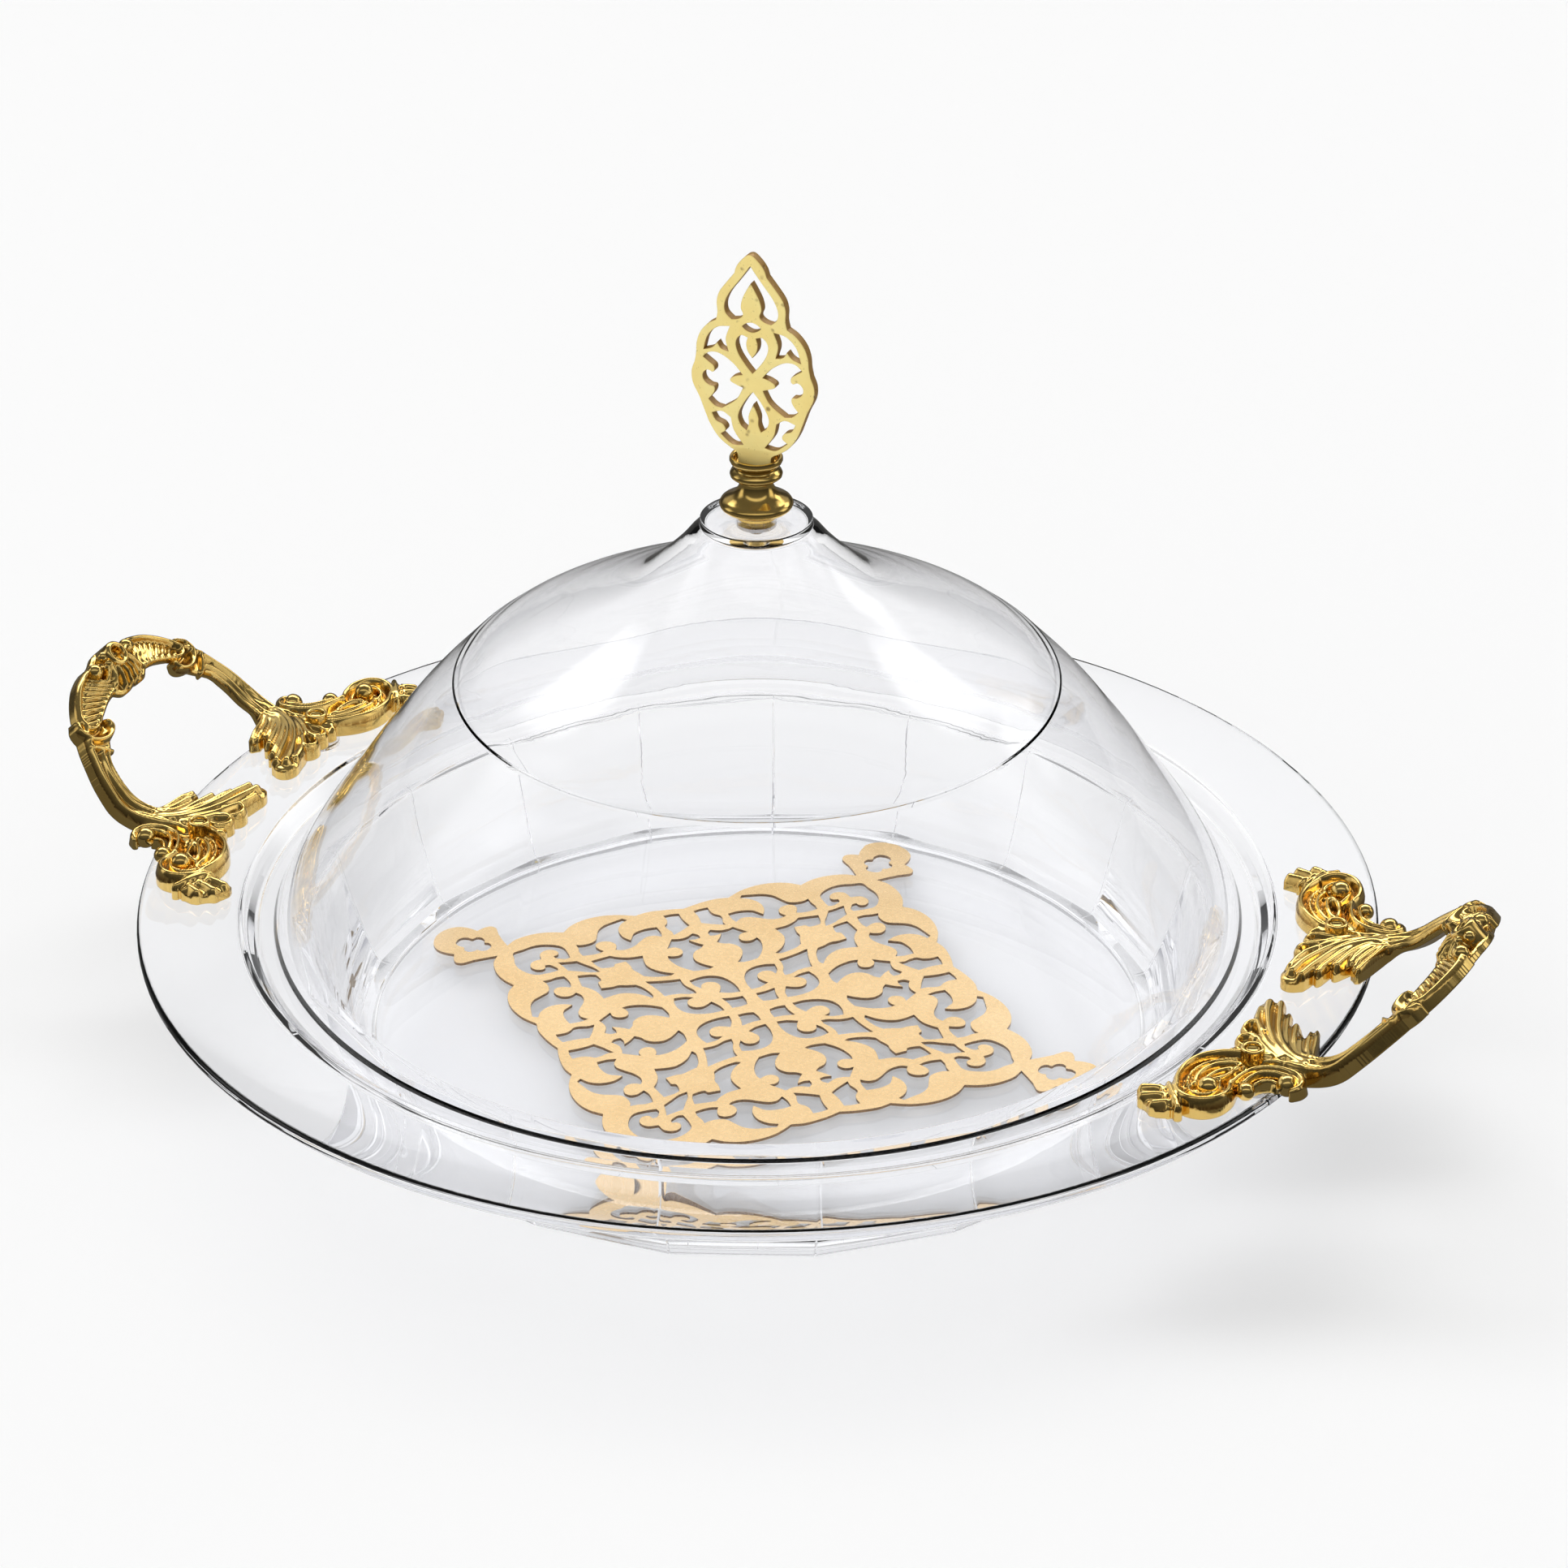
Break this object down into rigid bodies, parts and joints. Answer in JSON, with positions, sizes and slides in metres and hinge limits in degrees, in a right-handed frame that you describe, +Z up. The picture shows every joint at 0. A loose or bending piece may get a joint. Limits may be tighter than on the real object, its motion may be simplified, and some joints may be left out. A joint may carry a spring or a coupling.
{
  "type": "covered serving tray",
  "caption": "Round clear serving tray with a panelled well, a clear lift-off ogee dome, gilt openwork handles, a pierced gilt finial and a pierced gilt sheet on its floor.",
  "frame": {"origin": "middle of the foot ring's face, on the surface that the tray stands on", "axes": "+X through the middle of the right handle, +Y across the tray, +Z up through the finial"},
  "size_m": [0.378, 0.31, 0.2126],
  "materials": {
    "clear_moulding": "clear acrylic, polished",
    "gilt_polished": "gilt, cast and highly polished",
    "gilt_turned": "gilt, turned and polished",
    "gilt_cast": "pale gilt, satin with casting pits",
    "gilt_sheet": "pale gilt sheet, satin",
    "plain_steel": "plain machined",
    "clear_washer": "clear, smooth"
  },
  "bodies": {
    "root": {"tray_base": "clear_moulding", "dome_cover": "clear_moulding", "finial_base": "gilt_turned", "finial_plate": "gilt_cast", "finial_screw": "plain_steel", "finial_washer": "plain_steel", "floor_lattice": "gilt_sheet", "handle_left": "gilt_polished", "handle_right": "gilt_polished", "handle_screw": "plain_steel", "handle_washer": "clear_washer"}
  },
  "joints": []
}
